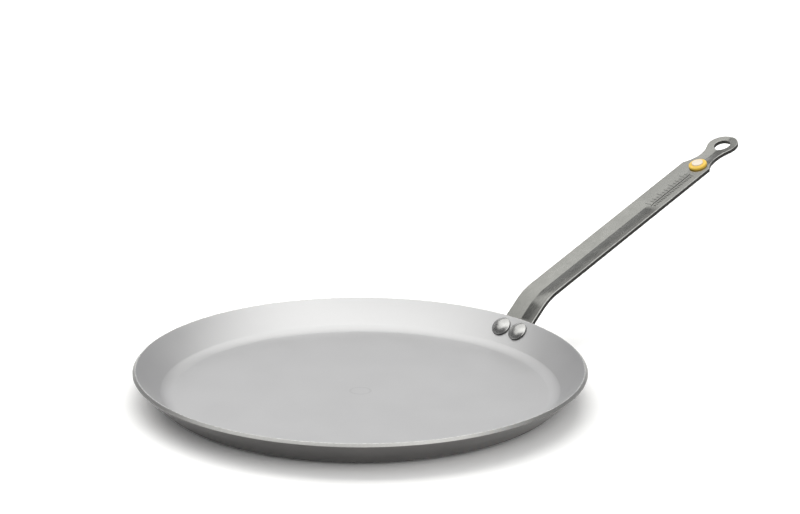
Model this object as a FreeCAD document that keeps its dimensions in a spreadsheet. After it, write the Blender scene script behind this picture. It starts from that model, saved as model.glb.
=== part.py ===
import FreeCAD, Part
import math
import os

import Sketcher

# A crepe pan: a shallow pressed steel pan, a formed strip handle with a hanging eye, two rivets
# and a push-in button with an inlay. Millimetres and degrees.
# The origin is the centre of the base's underside, +Z is up and the handle runs along +X.

DRIVING_SIZES = [
    ("rim_diameter", 300.0, "outside diameter over the rim"),
    ("pan_height", 21.1, "table to the top of the rim"),
    ("pan_sheet", 3.0, "thickness of the pan's sheet"),
    ("wall_angle", 43.2, "slope of the wall above the floor"),
    ("corner_radius", 14.0, "inside radius between floor and wall"),
    ("strip_width", 25.0, "width of the handle's strip"),
    ("strip_thickness", 3.0, "thickness of the handle's strip"),
    ("tab_length", 19.0, "rim to the tab's lower end, along the wall"),
    ("tab_corner", 7.0, "radius of the tab's lower corners"),
    ("bend_distance", 22.6, "rim to the corner of the bend, along the wall"),
    ("bend_radius", 42.0, "radius of the bend"),
    ("handle_angle", 20.45, "slope of the handle's straight above the floor"),
    ("handle_reach", 220.3, "corner of the bend to the tip"),
    ("gutter_depth", 1.4, "depth of the gutter pressed along the handle"),
    ("gutter_runout", 11.0, "length over which the gutter fades into the panel"),
    ("panel_to_eye", 87.7, "start of the flat panel to the eye's centre"),
    ("eye_radius", 11.6, "outside radius of the hanging eye"),
    ("hang_hole", 12.2, "diameter of the hang hole"),
    ("neck_width", 15.0, "least width between shoulder and eye"),
    ("neck_to_eye", 16.5, "neck to the eye's centre"),
    ("shoulder_to_eye", 30.6, "shoulder corners to the eye's centre"),
    ("shoulder_corner", 1.2, "radius of the shoulder corners"),
    ("rule_length", 44.5, "length of the stamped rule"),
    ("rule_width", 0.8, "width of the stamped rule"),
    ("rule_depth", 0.35, "depth of the stamped rule"),
    ("rule_offset", 4.0, "middle of the strip to the stamped rule"),
    ("rule_to_button", 11.8, "end of the stamped rule to the button's centre"),
    ("rivet_pitch", 15.6, "distance between the rivets"),
    ("rivet_from_rim", 9.5, "rim to the rivets, along the wall"),
    ("rivet_shank", 6.0, "diameter of the rivet shanks"),
    ("rivet_head", 14.0, "diameter of the domed heads inside the pan"),
    ("head_edge", 0.5, "height of a domed head's edge"),
    ("head_dome", 2.4, "height of the dome above that edge"),
    ("upset_head", 11.0, "diameter of the upset heads behind the tab"),
    ("upset_height", 2.2, "height of the upset heads"),
    ("upset_bevel", 1.4, "part of the upset height that tapers"),
    ("upset_face", 7.0, "diameter of the flat on an upset head"),
    ("button_to_eye", 30.4, "button's centre to the eye's centre"),
    ("button_offset", 1.8, "middle of the strip to the button's centre, on the rule's side"),
    ("button_head", 13.4, "diameter of the button"),
    ("button_edge", 1.4, "height of the button's edge"),
    ("button_dome", 1.3, "height of the button's dome above that edge"),
    ("button_land", 0.6, "flat plate left around the button"),
    ("button_stem", 7.0, "diameter of the button's stem"),
    ("button_flange", 10.0, "diameter of the flange that holds the button"),
    ("button_flange_height", 1.6, "height of that flange"),
    ("button_flange_bevel", 1.0, "lead-in on the flange"),
    ("inlay_diameter", 8.2, "diameter of the inlay"),
    ("inlay_depth", 1.2, "depth of the inlay's seat below the button's crown"),
    ("inlay_crown", 0.15, "height of the inlay's crown above the button's"),
    ("fit_clearance", 0.05, "clearance all round a shank, stem or inlay"),
    ("seat_gap", 0.05, "clearance between wall and tab"),
    ("trim_margin", 3.0, "stock past an edge that a cut takes away"),
]

doc = FreeCAD.newDocument("crepe_pan")
sheet = doc.addObject("Spreadsheet::Sheet", "Sizes")
for row, (alias, value, note) in enumerate(DRIVING_SIZES, start=1):
    sheet.set(f"A{row}", note)
    sheet.set(f"B{row}", str(value))
    sheet.setAlias(f"B{row}", alias)
doc.recompute()


def size(alias):
    """A driving size, as the sheet holds it."""
    return float(sheet.get(alias))


# Places that several pieces share, as expressions on the sheet.
WALL = "Sizes.wall_angle"
SLOPE = "Sizes.handle_angle"
RIM_X = "(Sizes.rim_diameter / 2)"
RIM_Z = f"(Sizes.pan_height - Sizes.pan_sheet * cos({WALL}))"
RIVET_X = f"({RIM_X} - Sizes.pan_sheet * sin({WALL}) - Sizes.rivet_from_rim * cos({WALL}))"
RIVET_Z = f"(Sizes.pan_height - Sizes.rivet_from_rim * sin({WALL}))"
RIVET_TURN = f"asin(Sizes.rivet_pitch / 2 / {RIVET_X})"
SEAT_RISE = f"(Sizes.strip_width ^ 2 * sin({WALL}) / 8 / {RIM_X})"
HEAD_LIFT = f"(Sizes.rivet_head ^ 2 * sin({WALL}) / 8 / {RIVET_X} + Sizes.seat_gap)"
BEND_X = f"({RIM_X} + Sizes.bend_distance * cos({WALL}))"
BEND_Z = f"({RIM_Z} + Sizes.bend_distance * sin({WALL}))"
BEND_TANGENT = f"(Sizes.bend_radius * tan(({WALL} - {SLOPE}) / 2))"
EYE = "(Sizes.handle_reach - Sizes.eye_radius)"
BUTTON = f"({EYE} - Sizes.button_to_eye)"


def seat_rise():
    """How far the strip's edges stand above its middle where the tab follows the round wall."""
    slant = math.sin(math.radians(size("wall_angle")))
    return size("strip_width") ** 2 * slant / 8 / (size("rim_diameter") / 2)


def head_lift():
    """How far a domed head's foot stands off the middle of its place on the round wall."""
    wall = math.radians(size("wall_angle"))
    lip = size("rim_diameter") / 2 - size("pan_sheet") * math.sin(wall)
    round_here = lip - size("rivet_from_rim") * math.cos(wall)
    return size("rivet_head") ** 2 * math.sin(wall) / 8 / round_here + size("seat_gap")


def plate_place(along, across="0"):
    """Expression for a placement on the plate's top, at a distance past the bend's corner, Z square to it."""
    out = f"{BEND_X} + ({along}) * cos({SLOPE}) - {SEAT_RISE} * sin({SLOPE})"
    up = f"{BEND_Z} + ({along}) * sin({SLOPE}) + {SEAT_RISE} * cos({SLOPE})"
    return f"placement(vector({out}; {across}; {up}); rotation(vector(0; 1; 0); -{SLOPE}))"


def rivet_place(side, lift="0"):
    """Expression for a placement on the inside of the wall at a rivet, Z pointing into the pan."""
    turn = f"placement(vector(0; 0; 0); rotation(vector(0; 0; 1); {side} * {RIVET_TURN}))"
    seat = f"placement(vector({RIVET_X}; 0; {RIVET_Z}); rotation(vector(0; 1; 0); -{WALL}))"
    raised = f"placement(vector(0; 0; {lift}); rotation(vector(0; 0; 1); 0))"
    return f"{turn} * {seat} * {raised}"


def origin_feature(body, role):
    """One of a body's own origin planes or axes."""
    return next(feature for feature in body.Origin.OriginFeatures if feature.Role == role)


def new_body(label):
    body = doc.addObject("PartDesign::Body", label)
    body.Label = label
    return body


def new_sketch(body, name, plane, offset=None):
    """A sketch on one of the body's origin planes, moved by an expression where one is given."""
    sketch = body.newObject("Sketcher::SketchObject", f"{body.Name}_{name}")
    sketch.AttachmentSupport = (origin_feature(body, plane), [""])
    sketch.MapMode = "FlatFace"
    if offset:
        sketch.setExpression("AttachmentOffset", offset)
    return sketch


def measure(sketch, kind, name, expression, *places):
    """A dimension between points of a sketch, bound to an expression on the sheet."""
    if kind == "Radius":
        now = sketch.Geometry[places[0]].Radius
    else:
        gap = sketch.getPoint(*places[2:]) - sketch.getPoint(*places[:2])
        now = {"DistanceX": gap.x, "DistanceY": gap.y}[kind]
    index = sketch.addConstraint(Sketcher.Constraint(kind, *places, now))
    sketch.renameConstraint(index, name)
    sketch.setExpression(f"Constraints.{name}", expression)


def point(x, y):
    return FreeCAD.Vector(x, y, 0)


def line(start, end):
    return Part.LineSegment(point(*start), point(*end))


def arc(centre, radius, first, last):
    """An arc anticlockwise from one angle to another, in degrees."""
    circle = Part.Circle(point(*centre), FreeCAD.Vector(0, 0, 1), radius)
    return Part.ArcOfCircle(circle, math.radians(first), math.radians(last))


# How a sketch numbers its own axes and the points of a piece.
X_AXIS, Y_AXIS = range(-1, -3, -1)
START, END, CENTRE = range(1, 4)
ORIGIN = (X_AXIS, START)


def join(sketch, *pairs):
    """Makes pairs of ends, each a piece and which of its points, coincide."""
    for pair in pairs:
        sketch.addConstraint(Sketcher.Constraint("Coincident", *pair))


def relate(sketch, kind, *groups):
    """Adds one constraint of a kind for each group of places."""
    for group in groups:
        sketch.addConstraint(Sketcher.Constraint(kind, *group))


def polyline(sketch, points):
    """Closed run of straight lines through the points, joined end to end."""
    count = len(points)
    for index in range(count):
        sketch.addGeometry(line(points[index], points[(index + 1) % count]))
    join(sketch, *[(index, END, (index + 1) % count, START) for index in range(count)])


def revolve(body, kind, name, sketch):
    """Turns a sketch all round the body's own Z axis, adding or cutting."""
    feature = body.newObject(f"PartDesign::{kind}", f"{body.Name}_{name}")
    feature.Profile = sketch
    feature.ReferenceAxis = (origin_feature(body, "Z_Axis"), [""])


def cut_through(body, name, sketch):
    """Cuts a sketch through everything below it."""
    feature = body.newObject("PartDesign::Pocket", f"{body.Name}_{name}")
    feature.Profile = sketch
    feature.Type = "ThroughAll"
    return feature


def mirror_across(body, name, feature):
    """Repeats a feature on the other side of the pan's middle plane."""
    mirrored = body.newObject("PartDesign::Mirrored", f"{body.Name}_{name}")
    mirrored.Originals = [feature]
    mirrored.MirrorPlane = (origin_feature(body, "XZ_Plane"), [""])
    body.Tip = mirrored


def rivet_holes(body):
    """Two holes square to the wall, which wall and tab share."""
    lift = "Sizes.head_edge + Sizes.head_dome"
    sketch = new_sketch(body, "rivet_circle", "XY_Plane", rivet_place(1, lift))
    sketch.addGeometry(Part.Circle(point(0, 0), FreeCAD.Vector(0, 0, 1), size("rivet_shank") / 2))
    join(sketch, (0, CENTRE, *ORIGIN))
    measure(sketch, "Radius", "hole", "Sizes.rivet_shank / 2 + Sizes.fit_clearance", 0)
    mirror_across(body, "other_hole", cut_through(body, "rivet_hole", sketch))


def make_pan_body():
    """The pressed pan: its section turned about the axis, with the rivet holes."""
    body = new_body("pan_body")
    sketch = new_sketch(body, "section", "XZ_Plane")
    angle = size("wall_angle")
    wall = math.radians(angle)
    thick = size("pan_sheet")
    inner = size("corner_radius")
    outer = inner + thick
    height = size("pan_height")
    rim = (size("rim_diameter") / 2, height - thick * math.cos(wall))
    lip = (rim[0] - thick * math.sin(wall), height)
    floor_end = rim[0] - rim[1] / math.tan(wall) - outer * math.tan(wall / 2)

    def on_corner(radius):
        return (floor_end + radius * math.sin(wall), outer - radius * math.cos(wall))

    pieces = [
        line((0, 0), (floor_end, 0)),
        arc((floor_end, outer), outer, -90, angle - 90),
        line(on_corner(outer), rim),
        line(rim, lip),
        line(lip, on_corner(inner)),
        arc((floor_end, outer), inner, -90, angle - 90),
        line((floor_end, thick), (0, thick)),
        line((0, thick), (0, 0)),
    ]
    sketch.addGeometry(pieces)
    under, under_corner, outside, edge, inside, floor_corner, floor, axis = range(len(pieces))
    join(sketch, (under, START, *ORIGIN), (outside, END, edge, START), (edge, END, inside, START))
    join(sketch, (floor, END, axis, START), (axis, END, under, START))
    join(sketch, (under_corner, CENTRE, floor_corner, CENTRE))
    relate(sketch, "Tangent", (under, END, under_corner, START), (under_corner, END, outside, START))
    relate(sketch, "Tangent", (inside, END, floor_corner, END), (floor_corner, START, floor, START))
    relate(sketch, "Horizontal", (under,), (floor,))
    relate(sketch, "Vertical", (axis,))
    relate(sketch, "Perpendicular", (outside, edge))
    relate(sketch, "Parallel", (outside, inside))
    measure(sketch, "DistanceX", "rim", RIM_X, *ORIGIN, outside, END)
    measure(sketch, "DistanceY", "rim_height", RIM_Z, *ORIGIN, outside, END)
    measure(sketch, "DistanceY", "lip_height", "Sizes.pan_height", *ORIGIN, edge, END)
    measure(sketch, "DistanceY", "sheet", "Sizes.pan_sheet", *ORIGIN, floor, END)
    measure(sketch, "Radius", "corner", "Sizes.corner_radius", floor_corner)
    revolve(body, "Revolution", "pressing", sketch)
    rivet_holes(body)
    return body


def strip_section(body, name, x, z, slope, gutter):
    """A section of the strip, square to its run: edges level, middle lowered by the gutter's depth."""
    offset = f"placement(vector(0; {z}; {x}); rotation(vector(1; 0; 0); -({slope})))"
    sketch = new_sketch(body, name, "YZ_Plane", offset)
    half = size("strip_width") / 2
    thick = size("strip_thickness")
    rise = seat_rise()
    drop = size("gutter_depth") if gutter else 0.0
    top = [(-half, rise), (0, rise - drop), (half, rise)]
    below = [(across, level - thick) for across, level in reversed(top)]
    polyline(sketch, top + below)
    left_top, right_top, right_side, right_under, left_under, left_side = range(sketch.GeometryCount)
    relate(sketch, "PointOnObject", (left_top, END, Y_AXIS), (right_under, END, Y_AXIS))
    relate(sketch, "Symmetric", (left_top, START, right_top, END, Y_AXIS))
    relate(sketch, "Symmetric", (right_side, END, left_under, END, Y_AXIS))
    relate(sketch, "Vertical", (right_side,))
    measure(sketch, "DistanceX", "width", "Sizes.strip_width", left_top, START, right_top, END)
    measure(sketch, "DistanceY", "rise", SEAT_RISE, *ORIGIN, right_top, END)
    measure(sketch, "DistanceY", "thickness", "Sizes.strip_thickness", right_side, END, right_side, START)
    if gutter:
        measure(sketch, "DistanceY", "gutter", gutter, left_top, END, right_top, END)
        measure(sketch, "DistanceY", "middle", "Sizes.strip_thickness", right_under, END, left_top, END)
    else:
        relate(sketch, "Horizontal", (left_top,), (left_under,))
    return sketch


def wall_section(body, name, along, gutter):
    """A section on the run beside the wall, at a distance past the rim."""
    x = f"{RIM_X} + ({along}) * cos({WALL})"
    z = f"{RIM_Z} + ({along}) * sin({WALL})"
    return strip_section(body, name, x, z, WALL, gutter)


def straight_section(body, name, along, gutter):
    """A section on the handle's straight, at a distance past the bend's corner."""
    x = f"{BEND_X} + ({along}) * cos({SLOPE})"
    z = f"{BEND_Z} + ({along}) * sin({SLOPE})"
    return strip_section(body, name, x, z, SLOPE, gutter)


def loft(body, name, sections):
    feature = body.newObject("PartDesign::AdditiveLoft", f"{body.Name}_{name}")
    feature.Profile = sections[0]
    feature.Sections = sections[1:]
    feature.Ruled = True
    return feature


def eye_cut(body):
    """Trims the strip's end to its shoulders, neck and hanging eye."""
    sketch = new_sketch(body, "eye_outline", "XY_Plane", plate_place("0"))
    half = size("strip_width") / 2
    spare = size("trim_margin")
    eye = size("handle_reach") - size("eye_radius")
    radius = size("eye_radius")
    shoulder = eye - size("shoulder_to_eye")
    neck = eye - size("neck_to_eye")
    waist = size("neck_width") / 2
    run = neck - shoulder
    step = half - waist
    sweep = (run ** 2 + step ** 2) / (2 * step)
    reach = eye - neck
    throat = (reach ** 2 + waist ** 2 - radius ** 2) / (2 * (radius - waist))
    opening = math.degrees(math.asin(run / sweep))
    lean = math.degrees(math.atan2(waist + throat, reach))
    far = eye + radius + spare
    side = half + spare
    pieces = [
        line((shoulder, half), (shoulder, side)),
        line((shoulder, side), (far, side)),
        line((far, side), (far, -side)),
        line((far, -side), (shoulder, -side)),
        line((shoulder, -side), (shoulder, -half)),
        arc((neck, -waist - sweep), sweep, 90, 90 + opening),
        arc((neck, -waist - throat), throat, lean, 90),
        arc((eye, 0), radius, lean - 180, 180 - lean),
        arc((neck, waist + throat), throat, -90, -lean),
        arc((neck, waist + sweep), sweep, -90 - opening, -90),
    ]
    sketch.addGeometry(pieces)
    left, back, end, front, right, *arcs = range(len(pieces))
    right_sweep, right_throat, ring, left_throat, left_sweep = arcs
    join(sketch, (left, END, back, START), (back, END, end, START), (end, END, front, START))
    join(sketch, (front, END, right, START), (right, END, right_sweep, END), (left_sweep, START, left, START))
    relate(sketch, "Tangent", (right_sweep, START, right_throat, END), (right_throat, START, ring, START))
    relate(sketch, "Tangent", (ring, END, left_throat, END), (left_throat, START, left_sweep, END))
    relate(sketch, "Vertical", (left,), (end,), (right,))
    relate(sketch, "Horizontal", (back,), (front,))
    relate(sketch, "Symmetric", (left, START, right, END, X_AXIS))
    relate(sketch, "Symmetric", (right_throat, END, left_throat, START, X_AXIS))
    relate(sketch, "Vertical", (right_sweep, CENTRE, right_throat, END))
    relate(sketch, "Vertical", (left_sweep, CENTRE, left_throat, START))
    relate(sketch, "PointOnObject", (ring, CENTRE, X_AXIS))
    measure(sketch, "DistanceX", "shoulder", f"{EYE} - Sizes.shoulder_to_eye", *ORIGIN, left, START)
    measure(sketch, "DistanceY", "width", "Sizes.strip_width", right, END, left, START)
    measure(sketch, "DistanceY", "back_margin", "Sizes.trim_margin", left, START, left, END)
    measure(sketch, "DistanceY", "front_margin", "Sizes.trim_margin", right, START, right, END)
    measure(sketch, "DistanceX", "far", "Sizes.handle_reach + Sizes.trim_margin", *ORIGIN, end, START)
    measure(sketch, "DistanceX", "eye", EYE, *ORIGIN, ring, CENTRE)
    measure(sketch, "Radius", "ring", "Sizes.eye_radius", ring)
    measure(sketch, "DistanceX", "neck", f"{EYE} - Sizes.neck_to_eye", *ORIGIN, left_throat, START)
    measure(sketch, "DistanceY", "waist", "Sizes.neck_width", right_throat, END, left_throat, START)
    cut_through(body, "eye_trim", sketch)


def plate_holes(body):
    """The hang hole and the button's hole."""
    sketch = new_sketch(body, "plate_circles", "XY_Plane", plate_place("0"))
    eye = size("handle_reach") - size("eye_radius")
    upright = FreeCAD.Vector(0, 0, 1)
    sketch.addGeometry(Part.Circle(point(eye, 0), upright, size("hang_hole") / 2))
    button_spot = point(eye - size("button_to_eye"), -size("button_offset"))
    sketch.addGeometry(Part.Circle(button_spot, upright, size("button_stem") / 2))
    hang, button = range(sketch.GeometryCount)
    relate(sketch, "PointOnObject", (hang, CENTRE, X_AXIS))
    measure(sketch, "DistanceX", "eye", EYE, *ORIGIN, hang, CENTRE)
    measure(sketch, "Radius", "hang", "Sizes.hang_hole / 2", hang)
    measure(sketch, "DistanceX", "button", BUTTON, *ORIGIN, button, CENTRE)
    measure(sketch, "DistanceY", "aside", "Sizes.button_offset", button, CENTRE, *ORIGIN)
    measure(sketch, "Radius", "stem", "Sizes.button_stem / 2 + Sizes.fit_clearance", button)
    cut_through(body, "plate_hole", sketch)


def stamped_rule(body):
    """A plain stamped line on the flat panel."""
    sketch = new_sketch(body, "rule_outline", "XY_Plane", plate_place("0"))
    end = size("handle_reach") - size("eye_radius") - size("button_to_eye") - size("rule_to_button")
    start = end - size("rule_length")
    across = -size("rule_offset")
    half = size("rule_width") / 2
    corners = [(start, across - half), (end, across - half), (end, across + half), (start, across + half)]
    polyline(sketch, corners)
    near, last, far, first = range(sketch.GeometryCount)
    relate(sketch, "Horizontal", (near,), (far,))
    relate(sketch, "Vertical", (last,), (first,))
    measure(sketch, "DistanceX", "end", f"{BUTTON} - Sizes.rule_to_button", *ORIGIN, near, END)
    measure(sketch, "DistanceX", "length", "Sizes.rule_length", near, START, near, END)
    measure(sketch, "DistanceY", "width", "Sizes.rule_width", last, START, last, END)
    measure(sketch, "DistanceY", "offset", "Sizes.rule_offset + Sizes.rule_width / 2", near, START, *ORIGIN)
    pocket = body.newObject("PartDesign::Pocket", f"{body.Name}_rule")
    pocket.Profile = sketch
    pocket.setExpression("Length", "Sizes.rule_depth")


def seat_cut(body):
    """Forms the tab's face to the round of the wall."""
    offset = f"placement(vector({RIM_X}; {RIM_Z}; 0); rotation(vector(0; 0; 1); {WALL}))"
    sketch = new_sketch(body, "seat_outline", "XZ_Plane", offset)
    spare = size("trim_margin")
    start = -size("tab_length") - spare
    gap = size("seat_gap")
    polyline(sketch, [(start, -gap), (0, -gap), (0, spare), (start, spare)])
    near, last, far, first = range(sketch.GeometryCount)
    relate(sketch, "Horizontal", (near,), (far,))
    relate(sketch, "Vertical", (last,), (first,))
    relate(sketch, "PointOnObject", (last, START, Y_AXIS))
    measure(sketch, "DistanceX", "length", "Sizes.tab_length + Sizes.trim_margin", near, START, near, END)
    measure(sketch, "DistanceY", "gap", "Sizes.seat_gap", near, END, *ORIGIN)
    measure(sketch, "DistanceY", "spare", "Sizes.trim_margin", *ORIGIN, far, START)
    revolve(body, "Groove", "seat", sketch)


def round_edges(body, radius, corners, direction):
    """Rounds the edges that pass close by the corners in a direction."""
    doc.recompute()
    base = body.Tip
    close = size("strip_thickness")
    nearly_along = math.cos(math.radians(5))
    chosen = []
    for index, edge in enumerate(base.Shape.Edges, start=1):
        along = edge.Vertexes[-1].Point - edge.Vertexes[0].Point
        upright = along.Length > 0 and abs(along.normalize().dot(direction)) > nearly_along
        if upright and any(edge.CenterOfMass.distanceToPoint(corner) < close for corner in corners):
            chosen.append(f"Edge{index}")
    if len(chosen) != len(corners):
        raise RuntimeError(f"{body.Label}: {len(chosen)} edges found for {radius}")
    fillet = body.newObject("PartDesign::Fillet", f"{body.Name}_{radius}")
    fillet.Base = (base, chosen)
    fillet.setExpression("Radius", f"Sizes.{radius}")


def wall_point(along, across, level):
    """A point beside the wall: past the rim along the wall, across the strip, and square to the wall."""
    wall = math.radians(size("wall_angle"))
    rim_z = size("pan_height") - size("pan_sheet") * math.cos(wall)
    x = size("rim_diameter") / 2 + along * math.cos(wall) - level * math.sin(wall)
    return FreeCAD.Vector(x, across, rim_z + along * math.sin(wall) + level * math.cos(wall))


def straight_point(along, across, level):
    """A point on the handle's straight: past the bend's corner, across the strip, and square to it."""
    slope = math.radians(size("handle_angle"))
    corner = wall_point(size("bend_distance"), across, 0)
    run = FreeCAD.Vector(math.cos(slope), 0, math.sin(slope))
    upright = FreeCAD.Vector(-math.sin(slope), 0, math.cos(slope))
    return corner + run * along + upright * level


def bend_turn(body):
    """The bend: the gutter section turned from the wall's slope to the handle's."""
    sketch = wall_section(body, "bend_section", f"Sizes.bend_distance - {BEND_TANGENT}", "Sizes.gutter_depth")
    below = -size("bend_radius")
    half = size("strip_width") / 2
    axis = sketch.addGeometry(line((-half, below), (half, below)), True)
    relate(sketch, "Symmetric", (axis, START, axis, END, Y_AXIS))
    measure(sketch, "DistanceX", "axis_length", "Sizes.strip_width", axis, START, axis, END)
    measure(sketch, "DistanceY", "bend", "Sizes.bend_radius", axis, END, *ORIGIN)
    feature = body.newObject("PartDesign::Revolution", f"{body.Name}_bend")
    feature.Profile = sketch
    feature.ReferenceAxis = (sketch, ["Axis0"])
    feature.setExpression("Angle", f"{WALL} - {SLOPE}")


def make_handle():
    """The formed strip: tab, bend, guttered straight, flat panel, neck and eye."""
    body = new_body("handle")
    gutter = "Sizes.gutter_depth"
    bend_start = f"Sizes.bend_distance - {BEND_TANGENT}"
    root = [
        wall_section(body, "tab_end", "-Sizes.tab_length", SEAT_RISE),
        wall_section(body, "at_rim", "0", SEAT_RISE),
        wall_section(body, "bend_start", bend_start, gutter),
    ]
    loft(body, "root", root)
    bend_turn(body)
    panel = f"{EYE} - Sizes.panel_to_eye"
    land = f"{BUTTON} + Sizes.button_head / 2 + Sizes.button_land"
    straight = [
        straight_section(body, "bend_end", BEND_TANGENT, gutter),
        straight_section(body, "gutter_end", f"{panel} - Sizes.gutter_runout", gutter),
        straight_section(body, "panel_start", panel, None),
        straight_section(body, "panel_end", land, None),
        straight_section(body, "at_neck", f"{EYE} - Sizes.neck_to_eye", gutter),
        straight_section(body, "past_tip", "Sizes.handle_reach + Sizes.trim_margin", gutter),
    ]
    loft(body, "straight", straight)
    eye_cut(body)
    plate_holes(body)
    stamped_rule(body)
    seat_cut(body)
    half = size("strip_width") / 2
    middle = seat_rise() - size("strip_thickness") / 2
    shoulder = size("handle_reach") - size("eye_radius") - size("shoulder_to_eye")
    tab = [wall_point(-size("tab_length"), side * half, middle) for side in (-1, 1)]
    shoulders = [straight_point(shoulder, side * half, middle) for side in (-1, 1)]
    round_edges(body, "tab_corner", tab, wall_point(0, 0, 1) - wall_point(0, 0, 0))
    round_edges(body, "shoulder_corner", shoulders, straight_point(0, 0, 1) - straight_point(0, 0, 0))
    rivet_holes(body)
    return body


def crown(half, edge, dome):
    """Centre and radius, on the axis, of a round crown over an edge, with its angle there in degrees."""
    radius = (half ** 2 + dome ** 2) / (2 * dome)
    centre = edge + dome - radius
    return centre, radius, math.degrees(math.atan2(edge - centre, half))


def make_rivet(label, side):
    """A rivet: domed head inside the wall, shank through wall and tab, upset head behind."""
    body = new_body(label)
    body.setExpression("Placement", rivet_place(side))
    sketch = new_sketch(body, "section", "XZ_Plane")
    half = size("rivet_head") / 2
    lift = head_lift()
    edge = lift + size("head_edge")
    centre, radius, angle = crown(half, edge, size("head_dome"))
    shank = size("rivet_shank") / 2
    back = -size("pan_sheet") - size("seat_gap") - size("strip_thickness")
    foot = back - size("upset_height")
    bulge = size("upset_head") / 2
    face = size("upset_face") / 2
    taper = foot + size("upset_bevel")
    corners = [
        (half, edge), (half, lift), (shank, lift), (shank, back), (bulge, back),
        (bulge, taper), (face, foot), (0, foot), (0, centre + radius),
    ]
    for first, second in zip(corners, corners[1:]):
        sketch.addGeometry(line(first, second))
    dome = sketch.addGeometry(arc((0, centre), radius, angle, 90))
    rim, seat, stem, shoulder, side_face, slope, end, axis = range(dome)
    join(sketch, *[(index, END, index + 1, START) for index in range(axis)])
    join(sketch, (axis, END, dome, END), (dome, START, rim, START))
    relate(sketch, "Vertical", (rim,), (stem,), (side_face,), (axis,))
    relate(sketch, "Horizontal", (seat,), (shoulder,), (end,))
    relate(sketch, "PointOnObject", (axis, START, Y_AXIS), (dome, CENTRE, Y_AXIS))
    measure(sketch, "DistanceX", "head", "Sizes.rivet_head / 2", *ORIGIN, rim, START)
    measure(sketch, "DistanceY", "lift", HEAD_LIFT, *ORIGIN, rim, END)
    measure(sketch, "DistanceY", "edge", "Sizes.head_edge", rim, END, rim, START)
    measure(sketch, "DistanceY", "dome", "Sizes.head_dome", rim, START, axis, END)
    measure(sketch, "DistanceX", "shank", "Sizes.rivet_shank / 2", *ORIGIN, stem, START)
    grip = "Sizes.pan_sheet + Sizes.seat_gap + Sizes.strip_thickness"
    measure(sketch, "DistanceY", "grip", grip, stem, END, *ORIGIN)
    measure(sketch, "DistanceX", "upset", "Sizes.upset_head / 2", *ORIGIN, side_face, START)
    measure(sketch, "DistanceY", "height", "Sizes.upset_height", slope, END, stem, END)
    measure(sketch, "DistanceY", "taper", "Sizes.upset_bevel", slope, END, slope, START)
    measure(sketch, "DistanceX", "face", "Sizes.upset_face / 2", *ORIGIN, slope, END)
    revolve(body, "Revolution", "turning", sketch)
    return body


def make_button_plug():
    """The push-in button: domed head, stem through the plate, flange behind, seat for the inlay."""
    body = new_body("button_plug")
    body.setExpression("Placement", plate_place(BUTTON, "-Sizes.button_offset"))
    sketch = new_sketch(body, "section", "XZ_Plane")
    half = size("button_head") / 2
    edge = size("button_edge")
    centre, radius, angle = crown(half, edge, size("button_dome"))
    stem = size("button_stem") / 2
    back = -size("strip_thickness")
    foot = back - size("button_flange_height")
    flange = size("button_flange") / 2
    taper = size("button_flange_bevel")
    corners = [
        (half, edge), (half, 0), (stem, 0), (stem, back), (flange, back),
        (flange, foot + taper), (stem, foot), (0, foot), (0, centre + radius),
    ]
    for first, second in zip(corners, corners[1:]):
        sketch.addGeometry(line(first, second))
    dome = sketch.addGeometry(arc((0, centre), radius, angle, 90))
    rim, seat, neck, shoulder, side_face, slope, end, axis = range(dome)
    join(sketch, *[(index, END, index + 1, START) for index in range(axis)])
    join(sketch, (axis, END, dome, END), (dome, START, rim, START))
    relate(sketch, "Vertical", (rim,), (neck,), (side_face,), (axis,))
    relate(sketch, "Horizontal", (shoulder,), (end,))
    relate(sketch, "PointOnObject", (axis, START, Y_AXIS), (dome, CENTRE, Y_AXIS))
    relate(sketch, "PointOnObject", (rim, END, X_AXIS), (neck, START, X_AXIS))
    relate(sketch, "Vertical", (neck, END, slope, END))
    measure(sketch, "DistanceX", "head", "Sizes.button_head / 2", *ORIGIN, rim, START)
    measure(sketch, "DistanceY", "edge", "Sizes.button_edge", rim, END, rim, START)
    measure(sketch, "DistanceY", "dome", "Sizes.button_dome", rim, START, axis, END)
    measure(sketch, "DistanceX", "stem", "Sizes.button_stem / 2", *ORIGIN, neck, START)
    measure(sketch, "DistanceY", "grip", "Sizes.strip_thickness", neck, END, *ORIGIN)
    measure(sketch, "DistanceX", "flange", "Sizes.button_flange / 2", *ORIGIN, side_face, START)
    measure(sketch, "DistanceY", "height", "Sizes.button_flange_height", slope, END, neck, END)
    measure(sketch, "DistanceY", "taper", "Sizes.button_flange_bevel", slope, END, slope, START)
    revolve(body, "Revolution", "moulding", sketch)
    crown_level = "Sizes.button_edge + Sizes.button_dome"
    crown_place = f"placement(vector(0; 0; {crown_level}); rotation(vector(0; 0; 1); 0))"
    recess = new_sketch(body, "recess_circle", "XY_Plane", crown_place)
    recess.addGeometry(Part.Circle(point(0, 0), FreeCAD.Vector(0, 0, 1), size("inlay_diameter") / 2))
    join(recess, (0, CENTRE, *ORIGIN))
    measure(recess, "Radius", "recess", "Sizes.inlay_diameter / 2 + Sizes.fit_clearance", 0)
    pocket = body.newObject("PartDesign::Pocket", f"{body.Name}_recess")
    pocket.Profile = recess
    pocket.setExpression("Length", "Sizes.inlay_depth")
    return body


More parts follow.
